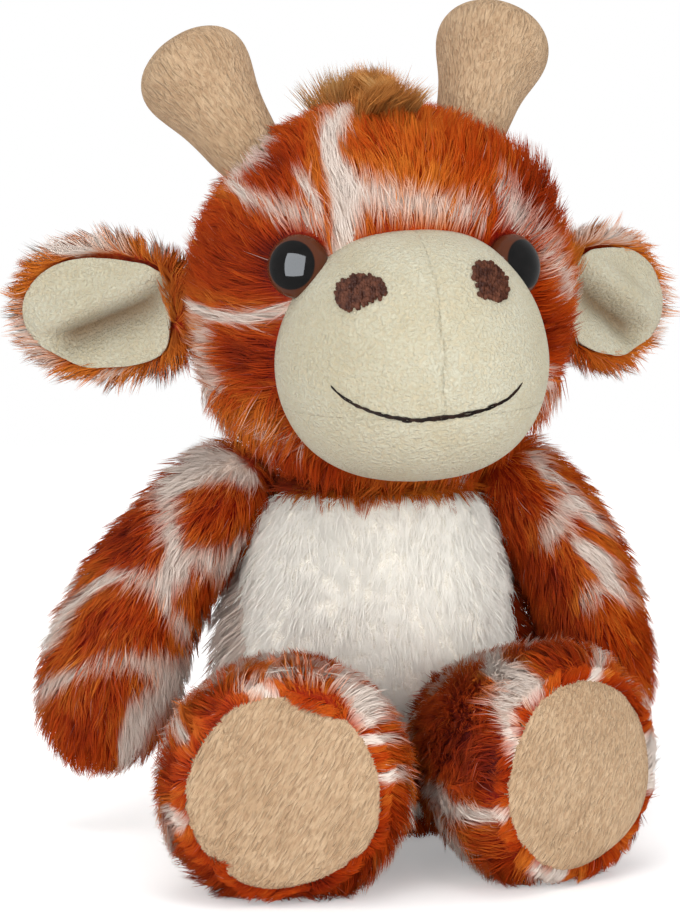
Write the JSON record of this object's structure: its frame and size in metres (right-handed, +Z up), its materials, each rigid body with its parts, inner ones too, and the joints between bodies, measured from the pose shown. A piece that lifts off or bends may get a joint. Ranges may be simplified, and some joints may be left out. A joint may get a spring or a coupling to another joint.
{
  "type": "seated plush giraffe",
  "caption": "Seated plush giraffe with patched fur, a cream belly and muzzle, stuffed ossicones and ears, and sewn-on limbs that swing.",
  "frame": {"origin": "middle of the flat underside of the seat, at the floor", "axes": "+Z up, the giraffe faces -Y, and its own left side is at +X"},
  "size_m": [0.1952, 0.226, 0.2453],
  "materials": {
    "patched_fur": "long soft pile, rust patches between off-white lines",
    "belly_fur": "long cream pile",
    "short_pile": "short curly cream pile",
    "tan_pile": "short tan velour",
    "mane_fur": "long light brown pile",
    "wadding": "loose polyester wadding",
    "bead_cloth": "plain woven cloth",
    "eye_plastic": "polished",
    "washer_plastic": "moulded",
    "nostril_thread": "satin stitch",
    "mouth_thread": "twisted thread"
  },
  "bodies": {
    "body": {"torso_skin": "patched_fur", "belly_panel": "belly_fur", "torso_filling": "wadding", "seat_bead_bag": "bead_cloth"},
    "neck": {"neck_filling": "wadding"},
    "head": {"head_skin": "patched_fur", "head_filling": "wadding", "muzzle_filling": "wadding", "muzzle_panel_left": "short_pile", "muzzle_panel_right": "short_pile", "chin_panel": "short_pile", "nostril_left": "nostril_thread", "nostril_right": "nostril_thread", "mouth_thread": "mouth_thread", "eye_left": "eye_plastic", "eye_right": "eye_plastic", "eye_washer_left": "washer_plastic", "eye_washer_right": "washer_plastic", "mane_strip": "mane_fur"},
    "ossicone_left": {"ossicone_skin_left": "tan_pile", "ossicone_filling_left": "wadding"},
    "ossicone_right": {"ossicone_skin_right": "tan_pile", "ossicone_filling_right": "wadding"},
    "ear_left": {"ear_outer_left": "patched_fur", "ear_lining_left": "short_pile"},
    "ear_right": {"ear_outer_right": "patched_fur", "ear_lining_right": "short_pile"},
    "arm_left": {"arm_skin_left": "patched_fur", "arm_filling_left": "wadding"},
    "arm_right": {"arm_skin_right": "patched_fur", "arm_filling_right": "wadding"},
    "leg_left": {"leg_skin_left": "patched_fur", "leg_filling_left": "wadding", "sole_pad_left": "tan_pile"},
    "leg_right": {"leg_skin_right": "patched_fur", "leg_filling_right": "wadding", "sole_pad_right": "tan_pile"},
    "tail": {"tail_skin": "patched_fur", "tail_tuft": "mane_fur"}
  },
  "joints": [
    {"name": "head_turn", "type": "hinge", "parent": "body", "child": "neck", "pos_m": [0.0005, 0, 0.1066], "axis": [0, 0, 1], "range_deg": [-25, 25], "stiffness_Nm_per_rad": 0.12},
    {"name": "head_nod", "type": "hinge", "parent": "neck", "child": "head", "pos_m": [0.0005, 0, 0.1066], "axis": [0.9945, 0.1045, 0], "range_deg": [-12, 10], "stiffness_Nm_per_rad": 0.6},
    {"name": "arm_lift_left", "type": "hinge", "parent": "body", "child": "arm_left", "pos_m": [0.044, 0.002, 0.101], "axis": [0, -1, 0], "range_deg": [0, 60], "stiffness_Nm_per_rad": 0.05},
    {"name": "arm_lift_right", "type": "hinge", "parent": "body", "child": "arm_right", "pos_m": [-0.044, 0.002, 0.101], "axis": [0, 1, 0], "range_deg": [0, 60], "stiffness_Nm_per_rad": 0.05},
    {"name": "leg_spread_left", "type": "hinge", "parent": "body", "child": "leg_left", "pos_m": [0.025, -0.0375, 0.0322], "axis": [0, 0, 1], "range_deg": [-4, 35], "stiffness_Nm_per_rad": 0.06},
    {"name": "leg_spread_right", "type": "hinge", "parent": "body", "child": "leg_right", "pos_m": [-0.025, -0.0375, 0.0322], "axis": [0, 0, -1], "range_deg": [-4, 35], "stiffness_Nm_per_rad": 0.06},
    {"name": "ear_fold_left", "type": "hinge", "parent": "head", "child": "ear_left", "pos_m": [0.05383, 0.00359, 0.15752], "axis": [0.0829, 0.1098, 0.9905], "range_deg": [-20, 25], "stiffness_Nm_per_rad": 0.02},
    {"name": "ear_fold_right", "type": "hinge", "parent": "head", "child": "ear_right", "pos_m": [-0.05499, -0.00784, 0.15465], "axis": [0.026, 0.0027, -0.9997], "range_deg": [-20, 25], "stiffness_Nm_per_rad": 0.02},
    {"name": "ossicone_bend_left", "type": "hinge", "parent": "head", "child": "ossicone_left", "pos_m": [0.02806, -0.00204, 0.20662], "axis": [-0.1045, 0.9945, 0], "range_deg": [-9, 9], "stiffness_Nm_per_rad": 0.03},
    {"name": "ossicone_bend_right", "type": "hinge", "parent": "head", "child": "ossicone_right", "pos_m": [-0.03728, -0.00885, 0.2001], "axis": [-0.1045, 0.9945, 0], "range_deg": [-9, 9], "stiffness_Nm_per_rad": 0.03},
    {"name": "tail_swing", "type": "hinge", "parent": "body", "child": "tail", "pos_m": [0, 0.03623, 0.017], "axis": [0, 0, 1], "range_deg": [-20, 20], "stiffness_Nm_per_rad": 0.01}
  ]
}
